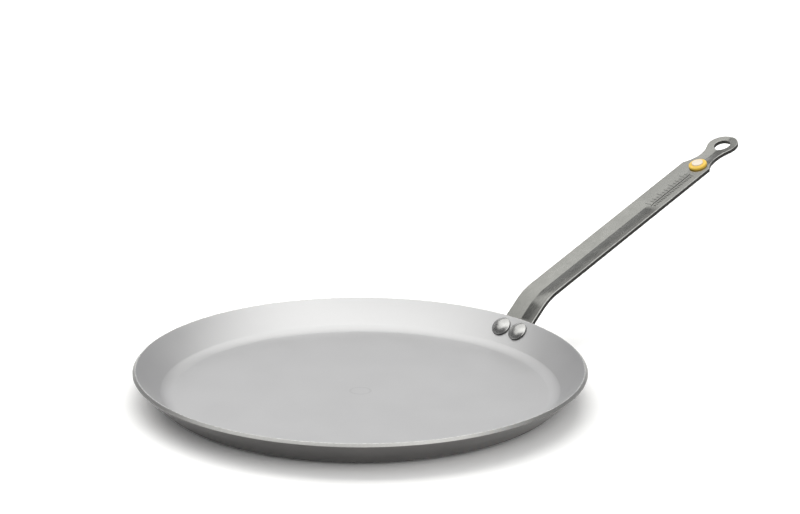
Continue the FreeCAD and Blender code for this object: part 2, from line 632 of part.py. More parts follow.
def make_button_inlay():
    """The inlay in the button's face, with a slight crown of its own."""
    body = new_body("button_inlay")
    body.setExpression("Placement", plate_place(BUTTON, "-Sizes.button_offset"))
    sketch = new_sketch(body, "section", "XZ_Plane")
    half = size("inlay_diameter") / 2
    top = size("button_edge") + size("button_dome")
    floor = top - size("inlay_depth")
    centre, radius, angle = crown(half, top, size("inlay_crown"))
    corners = [(half, top), (half, floor), (0, floor), (0, centre + radius)]
    for first, second in zip(corners, corners[1:]):
        sketch.addGeometry(line(first, second))
    dome = sketch.addGeometry(arc((0, centre), radius, angle, 90))
    rim, seat, axis = range(dome)
    join(sketch, (rim, END, seat, START), (seat, END, axis, START))
    join(sketch, (axis, END, dome, END), (dome, START, rim, START))
    relate(sketch, "Vertical", (rim,), (axis,))
    relate(sketch, "Horizontal", (seat,))
    relate(sketch, "PointOnObject", (axis, START, Y_AXIS), (dome, CENTRE, Y_AXIS))
    measure(sketch, "DistanceX", "disc", "Sizes.inlay_diameter / 2", *ORIGIN, rim, START)
    measure(sketch, "DistanceY", "top", "Sizes.button_edge + Sizes.button_dome", *ORIGIN, rim, START)
    measure(sketch, "DistanceY", "depth", "Sizes.inlay_depth", rim, END, rim, START)
    measure(sketch, "DistanceY", "crown", "Sizes.inlay_crown", rim, START, axis, END)
    revolve(body, "Revolution", "moulding", sketch)
    return body


def check(bodies):
    """Stops if any object failed or any sub-part isn't one sound solid."""
    for item in doc.Objects:
        if "Invalid" in item.State or "Error" in item.State:
            raise RuntimeError(f"{item.Label} failed: {item.State}")
    for body in bodies:
        shape = body.Shape
        if shape.isNull() or not shape.isValid() or len(shape.Solids) != 1:
            raise RuntimeError(f"{body.Label} isn't one valid solid")


bodies = [
    make_pan_body(),
    make_handle(),
    make_rivet("rivet_left", 1),
    make_rivet("rivet_right", -1),
    make_button_plug(),
    make_button_inlay(),
]
doc.recompute()
check(bodies)
os.makedirs("parts", exist_ok=True)
for body in bodies:
    body.Shape.exportStep(f"parts/{body.Label}.step")
    print(body.Label, "volume", round(body.Shape.Volume, 1), "box", body.Shape.BoundBox)
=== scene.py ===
import math
from collections import namedtuple

import bmesh
import bpy
from bpy.props import FloatProperty, FloatVectorProperty, IntProperty, PointerProperty
from bpy.types import Operator, Panel, PropertyGroup
from mathutils import Matrix, Vector


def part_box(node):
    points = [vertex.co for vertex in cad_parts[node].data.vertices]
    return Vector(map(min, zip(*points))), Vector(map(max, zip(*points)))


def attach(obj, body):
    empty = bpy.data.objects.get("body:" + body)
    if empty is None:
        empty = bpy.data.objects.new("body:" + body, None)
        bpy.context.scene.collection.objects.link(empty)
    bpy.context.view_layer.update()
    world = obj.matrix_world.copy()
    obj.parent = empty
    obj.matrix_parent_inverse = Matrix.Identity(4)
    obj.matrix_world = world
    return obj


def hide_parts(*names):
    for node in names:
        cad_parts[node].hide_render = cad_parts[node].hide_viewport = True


bl_info = {
    "name": "Crepe pan",
    "version": (1, 0, 0),
    "blender": (4, 5, 0),
    "location": "3D View > Sidebar > Crepe pan",
    "description": "Models a steel crepe pan with a riveted strip handle around its packed frame",
    "category": "Add Mesh",
}

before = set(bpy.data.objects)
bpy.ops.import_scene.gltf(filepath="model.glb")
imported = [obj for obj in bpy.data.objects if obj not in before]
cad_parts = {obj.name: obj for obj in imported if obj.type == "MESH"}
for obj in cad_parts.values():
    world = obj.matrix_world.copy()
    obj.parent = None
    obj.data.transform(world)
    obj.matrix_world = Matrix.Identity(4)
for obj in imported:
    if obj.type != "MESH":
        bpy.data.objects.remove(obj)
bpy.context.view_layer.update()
ALONG = Vector((1.0, 0.0, 0.0))
ACROSS = Vector((0.0, 1.0, 0.0))
UP = Vector((0.0, 0.0, 1.0))
QUARTER_TURN = math.pi / 2.0
HALF_TURN = math.pi
FULL_TURN = 2.0 * math.pi
SMALL_FACETS = 64
SHARP = math.radians(35.0)

# How near counts as the same place: for finding a ring, for merging and for cutting
NEAR = 1e-5
MERGE = 1e-6
TOUCH = 1e-7

# A value that eases from one level to another between two places
Fade = namedtuple("Fade", "start end before after")


def length(name, description, default):
    return FloatProperty(name=name, description=description, default=default, precision=5, unit="LENGTH")


def angle(name, description, degrees):
    return FloatProperty(
        name=name, description=description, default=math.radians(degrees),
        subtype="ANGLE", unit="ROTATION",
    )


def share(name, description, default):
    return FloatProperty(
        name=name, description=description, default=default, min=0.0, max=1.0, subtype="FACTOR"
    )


def colour(name, description, default):
    return FloatVectorProperty(
        name=name, description=description, default=default, min=0.0, max=1.0, size=3, subtype="COLOR"
    )


def count(name, description, default):
    return IntProperty(name=name, description=description, default=default, min=3)


class PanSizes(PropertyGroup):
    """Sizes of the pressed pan."""

    rim_radius: length("Rim radius", "Outside radius over the rim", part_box("pan_body")[1].x)
    height: length("Height", "Table to the top of the rim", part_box("pan_body")[1].z)
    sheet: length("Sheet", "Thickness of the pan's sheet", 0.0030)
    wall_angle: angle("Wall angle", "Slope of the wall above the floor", 43.2)
    corner: length("Floor corner", "Inside radius between floor and wall", 0.014)
    under_corner: length("Under corner", "Outside radius between base and wall", 0.017)
    hollow: length("Wall hollow", "How far the wall's inside bows below a straight line", 0.0004)
    lip: length("Lip", "Rounding of the rim's inner arris", 0.0006)
    arris: length("Rim arris", "Rounding of the rim's outer arris", 0.0003)
    facets: count("Facets", "Facets all round the pan", 256)


class HandleSizes(PropertyGroup):
    """Sizes of the formed strip handle, along the strip from the rim."""

    width: length("Width", "Width of the strip", 0.025)
    thickness: length("Thickness", "Thickness of the strip", 0.003)
    tab: length("Tab", "Rim to the tab's lower end", 0.019)
    tab_corner: length("Tab corner", "Radius of the tab's lower corners", 0.007)
    bend_corner: length("Bend", "Rim to the corner of the bend", 0.0226)
    bend_radius: length("Bend radius", "Radius of the bend", 0.042)
    slope: angle("Handle slope", "Slope of the handle's straight above the floor", 20.45)
    reach: length("Reach", "Corner of the bend to the tip", 0.2203)
    gutter: length("Gutter", "Depth of the pressed gutter", 0.0014)
    eye_radius: length("Eye radius", "Outside radius of the hanging eye", 0.0116)
    hang_hole: length("Hang hole", "Diameter of the hang hole", 0.0122)
    neck_width: length("Neck width", "Least width between shoulder and eye", 0.0150)
    neck: length("Neck", "Neck to the eye's centre", 0.0165)
    shoulder: length("Shoulder", "Shoulder corners to the eye's centre", 0.0306)
    button: length("Button", "Button's centre to the eye's centre", 0.0304)
    button_offset: length("Button offset", "Middle of the strip to the button's centre", 0.0018)
    stem_hole: length("Stem hole", "Diameter of the hole for the button's stem", 0.0071)
    land: length("Land", "Button's centre to the end of the flat panel", 0.0025)
    panel: length("Panel", "Start of the flat panel to the eye's centre", 0.0820)
    runout: length("Run-out", "Length over which the gutter fades into the panel", 0.0100)
    arris: length("Arris", "Rounding of the strip's edges", 0.0004)
    rule_length: length("Rule", "Length of the stamped rule", 0.0445)
    rule_width: length("Rule width", "Width of the stamped rule", 0.0008)
    rule_depth: length("Rule depth", "Depth of the stamped rule", 0.00035)
    rule_offset: length("Rule offset", "Middle of the strip to the stamped rule", 0.0040)
    rule_gap: length("Rule gap", "End of the stamped rule to the button's centre", 0.0118)


class FastenerSizes(PropertyGroup):
    """Sizes of the rivets and of the push-in button."""

    rivet_pitch: length("Rivet pitch", "Distance between the rivets", 0.0156)
    rivet_drop: length("Rivet drop", "Rim to the rivets, along the wall", 0.0095)
    shank: length("Shank", "Diameter of the rivet shanks", 0.006)
    head: length("Rivet head", "Diameter of the domed heads", 0.0140)
    head_edge: length("Head edge", "Height of a domed head's edge", 0.0005)
    head_dome: length("Head dome", "Height of the dome above that edge", 0.0024)
    upset: length("Upset head", "Diameter of the heads behind the tab", 0.011)
    upset_height: length("Upset height", "Height of the heads behind the tab", 0.0022)
    button: length("Button", "Diameter of the button", 0.0134)
    button_edge: length("Button edge", "Height of the button's edge", 0.0014)
    button_dome: length("Button dome", "Height of the button's dome above that edge", 0.0013)
    stem: length("Stem", "Diameter of the button's stem", 0.007)
    flange: length("Flange", "Diameter of the flange that holds the button", 0.010)
    flange_height: length("Flange height", "Height of that flange", 0.0016)
    inlay: length("Inlay", "Diameter of the inlay", 0.0082)
    inlay_depth: length("Inlay depth", "Depth of the inlay's seat", 0.0012)
    inlay_crown: length("Inlay crown", "Height of the inlay's crown", 0.00015)


class Finishes(PropertyGroup):
    """Colours and gloss of the pan's materials."""

    pan_steel: colour("Pan steel", "Satin steel of the pan", (0.620, 0.620, 0.630))
    pan_gloss: share("Pan roughness", "Roughness of the pan's satin", 0.46)
    # The outside's dark tint is painted shade, standing in for the shadowed floor that it reflects
    pan_outside: colour("Pan outside", "Duller steel of the pan's outside", (0.207, 0.200, 0.198))
    handle_steel: colour("Handle steel", "Dull rolled steel of the handle", (0.316, 0.317, 0.304))
    handle_gloss: share("Handle roughness", "Roughness of the rolled steel", 0.23)
    # Lighter tint of the strip's top arrises: a painted highlight along its edges
    burnished: colour("Burnished arris", "Worn bright arrises of the strip", (0.480, 0.480, 0.468))
    arris_gloss: share("Arris roughness", "Roughness of worn arrises and of the rivets' sides", 0.33)
    # Lighter tint of the rim's inner arris: a painted highlight along the lip
    lip_highlight: colour("Worn lip", "Worn inner arris of the rim", (0.660, 0.660, 0.660))
    lip_gloss: share("Lip roughness", "Roughness of the rim's inner arris", 0.48)
    # Dark tint of the stamped hollows: painted shade in the marks
    stamped: colour("Stamped hollow", "Floor of the stamped marks", (0.150, 0.148, 0.141))
    trimmed_rim: colour("Trimmed rim", "Cut edge of the rim", (0.455, 0.453, 0.446))
    # Near-black tint of the strip's sides: painted shade for the dark surroundings that they reflect
    sheared_edge: colour("Sheared edge", "Dark sheared sides of the strip", (0.036, 0.035, 0.033))
    rivet_steel: colour("Rivet steel", "Set rivets", (0.500, 0.500, 0.496))
    # Dark tint of the heads' sides: painted shade along the rivets' outlines
    rivet_edge: colour("Rivet edge", "Dull sides of the rivet heads", (0.110, 0.110, 0.108))
    button_yellow: colour("Button yellow", "Moulded button", (0.770, 0.500, 0.057))
    inlay_white: colour("Inlay white", "Inlay in the button's face", (0.700, 0.620, 0.520))


class StageSettings(PropertyGroup):
    """Camera, floor and studio light."""

    distance: length("Camera distance", "Camera to the middle of the base", 1.950)
    azimuth: angle("Camera azimuth", "Direction from the pan to the camera", -133.0)
    elevation: angle("Camera elevation", "Height of the camera seen from the pan", 19.434)
    heading: angle("Camera heading", "Turn of the camera about the upright", -43.802)
    dip: angle("Camera dip", "Fall of the camera's axis", 16.749)
    roll: angle("Camera roll", "Turn of the camera about its own axis", 0.290)
    lens: FloatProperty(
        name="Lens", description="Focal length on a 36 mm sensor", default=132.5, unit="CAMERA"
    )
    floor_size: length("Floor", "Side of the square floor", 60.0)
    floor_pale: share("Floor pale", "Paleness of the floor as a lit surface", 0.80)
    ambient: share("Ambient", "Even light on matt surfaces", 0.63)


class CrepePanSettings(PropertyGroup):
    """Everything a user would change."""

    pan: PointerProperty(type=PanSizes)
    handle: PointerProperty(type=HandleSizes)
    fastener: PointerProperty(type=FastenerSizes)
    finish: PointerProperty(type=Finishes)
    stage: PointerProperty(type=StageSettings)


# Modelling helpers


def lay_edge(bm, start, end):
    """A straight edge from a vertex to a place, and the vertex there."""
    vert = bm.verts.new(end)
    bm.edges.new((start, vert))
    return vert


def lay_corners(bm, vert, corners):
    """Straight edges from a vertex to each radius and level in turn, in section."""
    for radius, level in corners:
        vert = lay_edge(bm, vert, (radius, 0.0, level))


def lay_arc(bm, start, centre, axis, turn, steps):
    """An arc of edges that carries a vertex round a centre, and the vertex at its end."""
    arc = bmesh.ops.spin(bm, geom=[start], cent=centre, axis=axis, angle=turn, steps=steps)
    return next(item for item in arc["geom_last"] if isinstance(item, bmesh.types.BMVert))


def lay_dome(bm, half, edge, dome):
    """A round crown in section, from its top on the axis down to its edge, and the vertex there."""
    radius = (half ** 2 + dome ** 2) / (2.0 * dome)
    centre = Vector((0.0, 0.0, edge + dome - radius))
    top = bm.verts.new((0.0, 0.0, edge + dome))
    return lay_arc(bm, top, centre, ACROSS, math.asin(half / radius), steps=14)


def turn_section(bm, facets):
    """Turns a section all round the upright, closes its poles and points its faces outwards."""
    section = bm.verts[:] + bm.edges[:]
    bmesh.ops.spin(
        bm, geom=section, cent=(0, 0, 0), axis=UP, angle=FULL_TURN, steps=facets, use_merge=True
    )
    bmesh.ops.remove_doubles(bm, verts=bm.verts[:], dist=MERGE)
    bmesh.ops.dissolve_degenerate(bm, edges=bm.edges[:], dist=TOUCH)
    bmesh.ops.recalc_face_normals(bm, faces=bm.faces[:])


def ring(bm, radius, level):
    """The edges of a turned piece that lie at a radius and a level."""

    def on_ring(vert):
        return abs(vert.co.xy.length - radius) < NEAR and abs(vert.co.z - level) < NEAR

    return [edge for edge in bm.edges if all(on_ring(vert) for vert in edge.verts)]


def round_over(bm, edges, offset, segments):
    """Rounds edges over, and gives the faces that this adds."""
    rounded = bmesh.ops.bevel(
        bm, geom=edges, offset=offset, offset_type="OFFSET", affect="EDGES",
        segments=segments, profile=0.5, material=-1,
    )
    return rounded["faces"]


def rim_edge(pan):
    """The rim's outer edge, on the handle's side."""
    return Vector((pan.rim_radius, 0.0, pan.height - pan.sheet * math.cos(pan.wall_angle)))


def finish_piece(bm, name, node, materials, place=Matrix.Identity(4)):
    """Makes a bmesh into a finished piece that stands for a node of the frame."""
    bmesh.ops.transform(bm, matrix=place, verts=bm.verts[:])
    mesh = bpy.data.meshes.new(name)
    bm.to_mesh(mesh)
    bm.free()
    mesh.shade_smooth()
    mesh.set_sharp_from_angle(angle=SHARP)
    for material in materials:
        mesh.materials.append(material)
    piece = bpy.data.objects.new(name, mesh)
    bpy.context.scene.collection.objects.link(piece)
    weighted = piece.modifiers.new("weighted_normals", "WEIGHTED_NORMAL")
    weighted.keep_sharp = True
    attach(piece, "root")
    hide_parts(node)


# Finishes


class Nodes:
    """A node tree under way, and short ways to add and join its nodes."""

    def __init__(self, tree):
        self.tree = tree

    def add(self, kind, **settings):
        node = self.tree.nodes.new(kind)
        for key, value in settings.items():
            setattr(node, key, value)
        return node

    def join(self, source, target):
        self.tree.links.new(source, target)

    def remap(self, value, start, end, before, after):
        """A value eased from one level to another between two places."""
        node = self.add("ShaderNodeMapRange", interpolation_type="SMOOTHSTEP")
        sockets = ("From Min", "From Max", "To Min", "To Max")
        for key, number in zip(sockets, (start, end, before, after)):
            node.inputs[key].default_value = number
        self.join(value, node.inputs["Value"])
        return node.outputs["Result"]

    def math(self, operation, first, second=0.0):
        node = self.add("ShaderNodeMath", operation=operation)
        for socket, value in zip(node.inputs, (first, second)):
            if isinstance(value, (int, float)):
                socket.default_value = value
            else:
                self.join(value, socket)
        return node.outputs["Value"]

    def blend(self, factor, first, second):
        """A colour between two, each a colour or another node's output."""
        node = self.add("ShaderNodeMix", data_type="RGBA")
        self.join(factor, node.inputs["Factor"])
        for socket, value in zip((node.inputs[6], node.inputs[7]), (first, second)):
            if isinstance(value, bpy.types.NodeSocket):
                self.join(value, socket)
            else:
                socket.default_value = (*value, 1.0)
        return node.outputs[2]

    def along(self, place, direction):
        """How far a place lies along a direction."""
        node = self.add("ShaderNodeVectorMath", operation="DOT_PRODUCT")
        node.inputs[1].default_value = direction
        self.join(place, node.inputs[0])
        return node.outputs["Value"]


class Recipe(Nodes):
    """A material under way."""

    # Where a noise texture's levels begin and end, for most purposes
    NOISE_LOW = 0.3
    NOISE_HIGH = 0.7

    def __init__(self, name):
        self.material = bpy.data.materials.new(name)
        self.material.use_nodes = True
        super().__init__(self.material.node_tree)
        self.shader = self.tree.nodes["Principled BSDF"]
        self.place = self.add("ShaderNodeTexCoord").outputs["Object"]

    def scaled(self, scale):
        """The piece's own coordinates, scaled apart along each axis."""
        mapping = self.add("ShaderNodeMapping")
        mapping.inputs["Scale"].default_value = scale
        self.join(self.place, mapping.inputs["Vector"])
        return mapping.outputs["Vector"]

    def noise(self, scale, detail=3.0, rough=0.6, place=None):
        node = self.add("ShaderNodeTexNoise")
        node.inputs["Scale"].default_value = scale
        node.inputs["Detail"].default_value = detail
        node.inputs["Roughness"].default_value = rough
        self.join(self.place if place is None else place, node.inputs["Vector"])
        return node.outputs["Fac"]

    def rolling_grain(self):
        """Fine lines, drawn out the way that the sheet was rolled."""
        return self.noise(scale=220.0, detail=4.0, place=self.scaled((30.0, 1.6, 12.0)))

    def spread(self, pattern, low, high):
        """A number that goes from low to high as a pattern does."""
        return self.remap(pattern, self.NOISE_LOW, self.NOISE_HIGH, low, high)

    def mottled(self, pattern, tint, dark, light):
        """A tint that goes from darker to lighter as a pattern does."""
        return self.blend(self.spread(pattern, 0.0, 1.0), shaded(tint, dark), shaded(tint, light))

    def bump(self, height, distance, strength):
        node = self.add("ShaderNodeBump")
        node.inputs["Distance"].default_value = distance
        node.inputs["Strength"].default_value = strength
        self.join(height, node.inputs["Height"])
        self.join(node.outputs["Normal"], self.shader.inputs["Normal"])

    def paint(self, base, roughness, metallic=1.0):
        self.join(base, self.shader.inputs["Base Color"])
        self.join(roughness, self.shader.inputs["Roughness"])
        self.shader.inputs["Metallic"].default_value = metallic
        return self.material


def shaded(tint, amount):
    """A colour made lighter or darker."""
    return tuple(min(1.0, part * amount) for part in tint)


def satin_pan_steel(finish):
    """Bare satin sheet: fine rolling grain, faint clouding and a soft plain ring in the middle."""
    ring_radius = 0.0068
    ring_edge = Fade(start=0.0003, end=0.0009, before=1.0, after=0.0)
    ring_strength = 0.16
    floor_level = 0.001
    grain_shade = Fade(start=0.25, end=0.75, before=0.0, after=0.12)
    grain_gloss = Fade(start=0.2, end=0.8, before=-0.03, after=0.03)
    cloud_gloss = 0.015
    tint, gloss = finish.pan_steel, finish.pan_gloss
    made = Recipe("satin_pan_steel")
    grain = made.rolling_grain()
    clouds = made.noise(scale=28.0, detail=2.0, rough=0.5)
    clouded = made.mottled(clouds, tint, dark=0.985, light=1.015)
    grained = made.blend(made.remap(grain, *grain_shade), clouded, shaded(tint, 0.86))
    from_middle = made.add("ShaderNodeVectorMath", operation="LENGTH")
    made.join(made.scaled((1.0, 1.0, 0.0)), from_middle.inputs[0])
    off_ring = made.math("SUBTRACT", from_middle.outputs["Value"], ring_radius)
    on_ring = made.remap(made.math("ABSOLUTE", off_ring), *ring_edge)
    on_floor = made.math("GREATER_THAN", made.along(made.place, UP), floor_level)
    mark = made.math("MULTIPLY", made.math("MULTIPLY", on_ring, on_floor), ring_strength)
    marked = made.blend(mark, grained, shaded(tint, 0.55))
    cloudy = made.spread(clouds, gloss - cloud_gloss, gloss + cloud_gloss)
    made.bump(grain, distance=0.00001, strength=0.25)
    return made.paint(marked, made.math("ADD", made.remap(grain, *grain_gloss), cloudy))


def shaded_outside_pan_steel(finish):
    """The pan's outside: the same sheet, left duller, in a tint darkened as painted shade, and darker
    still towards the base as painted contact shade.
    """
    grain_shade = Fade(start=0.25, end=0.75, before=0.0, after=0.15)
    grain_gloss = Fade(start=0.2, end=0.8, before=0.29, after=0.37)
    # Painted contact shade: the outside darkens towards the base
    painted_contact_shade = Fade(start=0.002, end=0.020, before=0.40, after=0.0)
    tint = finish.pan_outside
    made = Recipe("shaded_outside_pan_steel")
    grain = made.rolling_grain()
    clouds = made.noise(scale=40.0, rough=0.5)
    clouded = made.mottled(clouds, tint, dark=0.95, light=1.05)
    grained = made.blend(made.remap(grain, *grain_shade), clouded, shaded(tint, 0.8))
    level = made.along(made.place, UP)
    base = made.blend(made.remap(level, *painted_contact_shade), grained, shaded(tint, 0.35))
    made.bump(grain, distance=0.00001, strength=0.25)
    return made.paint(base, made.remap(grain, *grain_gloss))


def trimmed_rim_steel(finish):
    """The rim's cut edge: the same sheet, trimmed, with fine tool lines."""
    made = Recipe("trimmed_rim_steel")
    lines = made.noise(scale=12.0, place=made.scaled((60.0, 60.0, 900.0)))
    spots = made.noise(scale=300.0, detail=2.0, rough=0.5)
    base = made.mottled(lines, finish.trimmed_rim, dark=0.90, light=1.08)
    made.bump(lines, distance=0.00001, strength=0.2)
    return made.paint(base, made.spread(spots, 0.34, 0.42))


def rolled_handle_steel(finish):
    """Dull rolled strip: fine speckled grain, soft clouds of oil and scale, and painted shade darkening
    it from the rim to the bend.
    """
    speckle_shade = Fade(start=0.35, end=0.65, before=0.0, after=0.35)
    # Painted shade: the strip is darker near the rim, fading out by the bend
    painted_root_shade = Fade(start=0.152, end=0.178, before=0.28, after=0.0)
    cloud_gloss = 0.015
    speckle_gloss = 0.04
    tint, gloss = finish.handle_steel, finish.handle_gloss
    made = Recipe("rolled_handle_steel")
    speckle = made.noise(scale=1500.0, rough=0.7)
    clouds = made.noise(scale=90.0, detail=4.0)
    clouded = made.mottled(clouds, tint, dark=0.94, light=1.06)
    speckled = made.blend(made.remap(speckle, *speckle_shade), clouded, shaded(tint, 0.72))
    from_rim = made.along(made.place, ALONG)
    base = made.blend(made.remap(from_rim, *painted_root_shade), speckled, shaded(tint, 0.25))
    cloudy = made.spread(clouds, gloss - cloud_gloss, gloss + cloud_gloss)
    rough = made.math("ADD", made.spread(speckle, -speckle_gloss, speckle_gloss), cloudy)
    made.bump(speckle, distance=0.00002, strength=0.2)
    return made.paint(base, rough)


def shaded_sheared_side(finish):
    """The strip's sheared sides: dull, with torn lines, in a near-black tint that is painted shade."""
    made = Recipe("shaded_sheared_side")
    torn = made.noise(scale=3.0, detail=4.0, rough=0.7, place=made.scaled((700.0, 700.0, 60.0)))
    clouds = made.noise(scale=150.0)
    base = made.mottled(torn, finish.sheared_edge, dark=0.7, light=1.5)
    made.bump(torn, distance=0.00006, strength=0.4)
    return made.paint(base, made.spread(clouds, 0.42, 0.58))


def painted_edge(name, tint, gloss):
    """A narrow edge, mottled unevenly, in a tint that is painted light: a highlight on the lip and the
    strip's arrises, shade on the rivets' sides.
    """
    uneven = 0.05
    made = Recipe(name)
    wear = made.noise(scale=400.0)
    base = made.mottled(wear, tint, dark=0.75, light=1.1)
    made.bump(wear, distance=0.00001, strength=0.2)
    return made.paint(base, made.spread(wear, gloss - uneven, gloss + uneven))


def shaded_stamped_hollow(finish):
    """The stamped marks: dull steel, darkened as painted shade in the hollows, and mottled."""
    made = Recipe("shaded_stamped_hollow")
    dirt = made.noise(scale=1100.0)
    base = made.mottled(dirt, finish.stamped, dark=0.75, light=1.25)
    made.bump(dirt, distance=0.00002, strength=0.3)
    return made.paint(base, made.spread(dirt, 0.38, 0.52))


def set_rivet_steel(finish):
    """Set rivets: brighter steel, burnished by the tool."""
    made = Recipe("set_rivet_steel")
    marks = made.noise(scale=700.0, detail=4.0)
    clouds = made.noise(scale=160.0, detail=2.0, rough=0.5)
    base = made.mottled(clouds, finish.rivet_steel, dark=0.92, light=1.06)
    made.bump(marks, distance=0.00001, strength=0.02)
    return made.paint(base, made.spread(marks, 0.26, 0.30))


def moulded_yellow(finish):
    """The button: satin moulding with a fine grain and faint clouding."""
    made = Recipe("moulded_yellow")
    grain = made.noise(scale=1800.0)
    clouds = made.noise(scale=260.0, detail=2.0, rough=0.5)
    base = made.mottled(clouds, finish.button_yellow, dark=0.93, light=1.05)
    made.bump(grain, distance=0.00002, strength=0.2)
    return made.paint(base, made.spread(grain, 0.36, 0.46), metallic=0.0)


def satin_white(finish):
    """The inlay: satin white with a fine grain."""
    made = Recipe("satin_white")
    grain = made.noise(scale=2200.0)
    clouds = made.noise(scale=300.0, detail=2.0, rough=0.5)
    base = made.mottled(clouds, finish.inlay_white, dark=0.96, light=1.03)
    made.bump(grain, distance=0.00001, strength=0.2)
    return made.paint(base, made.spread(grain, 0.32, 0.42), metallic=0.0)


# Pan


class CREPEPAN_OT_press_pan(Operator):
    """Turn the pan's section and round its corners and rim"""

    bl_idname = "crepe_pan.press_pan"
    bl_label = "Press the pan"

    def execute(self, context):
        settings = context.scene.crepe_pan
        pan, finish = settings.pan, settings.finish
        rise, run = math.sin(pan.wall_angle), math.cos(pan.wall_angle)
        rim = rim_edge(pan)
        lip = Vector((rim.x - pan.sheet * rise, 0.0, pan.height))
        foot = rim.x - rim.z * run / rise
        floor_edge = lip.x - (lip.z - pan.sheet) * run / rise
        half_wall = (lip - Vector((floor_edge, 0.0, pan.sheet))).length / 2.0
        bow_radius = (half_wall ** 2 + pan.hollow ** 2) / (2.0 * pan.hollow)
        bow = math.asin(half_wall / bow_radius)
        bow_centre = lip + Vector((-run, 0.0, -rise)) * half_wall
        bow_centre += Vector((-rise, 0.0, run)) * (bow_radius - pan.hollow)
        bm = bmesh.new()
        vert = bm.verts.new((0.0, 0.0, pan.sheet))
        vert = lay_edge(bm, vert, (floor_edge, 0.0, pan.sheet))
        vert = lay_arc(bm, vert, bow_centre, ACROSS, -2.0 * bow, steps=12)
        lay_corners(bm, vert, ((rim.x, rim.z), (foot, 0.0), (0.0, 0.0)))
        turn_section(bm, pan.facets)
        inner = pan.corner * math.tan((pan.wall_angle - bow) / 2.0)
        outer = pan.under_corner * math.tan(pan.wall_angle / 2.0)
        round_over(bm, ring(bm, floor_edge, pan.sheet), inner, segments=10)
        round_over(bm, ring(bm, foot, 0.0), outer, segments=10)
        lip_faces = round_over(bm, ring(bm, lip.x, lip.z), pan.lip, segments=4)
        round_over(bm, ring(bm, rim.x, rim.z), pan.arris, segments=3)
        self.part_finishes(bm, lip_faces)
        # The lip's lighter tint is a painted highlight
        materials = [
            satin_pan_steel(finish), trimmed_rim_steel(finish), shaded_outside_pan_steel(finish),
            painted_edge("lip_highlight", finish.lip_highlight, finish.lip_gloss),
        ]
        finish_piece(bm, "pan", "pan_body", materials)
        return {"FINISHED"}

    def part_finishes(self, bm, lip_faces):
        """Gives each face the finish of the inside, the cut edge, the outside or the worn lip."""
        inside, cut, outside, worn = range(4)
        cut_lean = 0.3
        for face in bm.faces:
            out = face.normal.xy.dot(face.calc_center_median().xy.normalized())
            if face.normal.z < 0.0:
                face.material_index = outside
            else:
                face.material_index = cut if out > cut_lean else inside
        for face in lip_faces:
            if face.is_valid:
                face.material_index = worn


# Handle

# Finishes of the strip: rolled steel, sides in painted shade, arrises with a painted highlight, and
# stamped hollows in painted shade
ROLLED, SHEARED_SHADE, HIGHLIT_ARRIS, STAMPED_SHADE = range(4)

# A stamped hollow: where it begins and ends along and across the strip, its depth and its finish
Hollow = namedtuple("Hollow", "near far low high depth finish")


class Strip:
    """Distances along the handle's strip, from the rim."""

    def __init__(self, pan, handle):
        turn = pan.wall_angle - handle.slope
        tangent = handle.bend_radius * math.tan(turn / 2.0)
        self.turn = turn
        self.half = handle.width / 2.0
        self.bend_start = handle.bend_corner - tangent
        self.bend_end = self.bend_start + handle.bend_radius * turn
        self.corner = self.bend_end - tangent
        self.tip = self.corner + handle.reach
        self.eye = self.tip - handle.eye_radius
        self.neck = self.eye - handle.neck
        self.shoulder = self.eye - handle.shoulder
        self.button = self.eye - handle.button
        self.land = self.button + handle.land
        self.panel = self.eye - handle.panel
        self.gutter_end = self.panel - handle.runout
        self.seat = self.half ** 2 * math.sin(pan.wall_angle) / (2.0 * pan.rim_radius)


def blank_half(bm, strip, handle, side):
    """One side of the blank: from the tab round the eye and back along the middle past both holes."""
    waist = handle.neck_width / 2.0
    run = strip.neck - strip.shoulder
    step = strip.half - waist
    sweep = (run ** 2 + step ** 2) / (2.0 * step)
    over = handle.neck ** 2 + waist ** 2 - handle.eye_radius ** 2
    throat = over / (2.0 * (handle.eye_radius - waist))
    lean = math.atan2(waist + throat, handle.neck)
    corner = handle.tab_corner
    flat = side * (strip.half - corner)
    hang, stem = handle.hang_hole / 2.0, handle.stem_hole / 2.0
    eye = Vector((strip.eye, 0.0, 0.0))
    button = Vector((strip.button, -handle.button_offset, 0.0))
    hip = Vector((strip.neck, side * (waist + sweep), 0.0))
    nape = Vector((strip.neck, side * (waist + throat), 0.0))
    others = set(bm.edges)
    start = bm.verts.new((-handle.tab, 0.0, 0.0))
    vert = lay_edge(bm, start, (-handle.tab, flat, 0.0))
    vert = lay_arc(bm, vert, (corner - handle.tab, flat, 0.0), UP, -side * QUARTER_TURN, steps=8)
    vert = lay_edge(bm, vert, (strip.shoulder, side * strip.half, 0.0))
    vert = lay_arc(bm, vert, hip, UP, side * math.asin(run / sweep), steps=10)
    vert = lay_arc(bm, vert, nape, UP, side * (QUARTER_TURN - lean), steps=8)
    vert = lay_arc(bm, vert, eye, UP, side * (lean - HALF_TURN), steps=30)
    vert = lay_edge(bm, vert, eye + ALONG * hang)
    vert = lay_arc(bm, vert, eye, UP, side * HALF_TURN, steps=24)
    vert = lay_edge(bm, vert, (strip.button + 2.0 * stem, 0.0, 0.0))
    vert = lay_edge(bm, vert, button + ALONG * stem)
    vert = lay_arc(bm, vert, button, UP, side * HALF_TURN, steps=24)
    vert = lay_edge(bm, vert, (strip.button - 2.0 * stem, 0.0, 0.0))
    bm.edges.new((vert, start))
    bmesh.ops.edgeloop_fill(bm, edges=[edge for edge in bm.edges if edge not in others])


def slice_blank(bm, places, direction):
    """Cuts the blank along planes square to one of its directions."""
    for place in places:
        geometry = bm.verts[:] + bm.edges[:] + bm.faces[:]
        bmesh.ops.bisect_plane(
            bm, geom=geometry, dist=TOUCH, plane_co=direction * place, plane_no=direction
        )


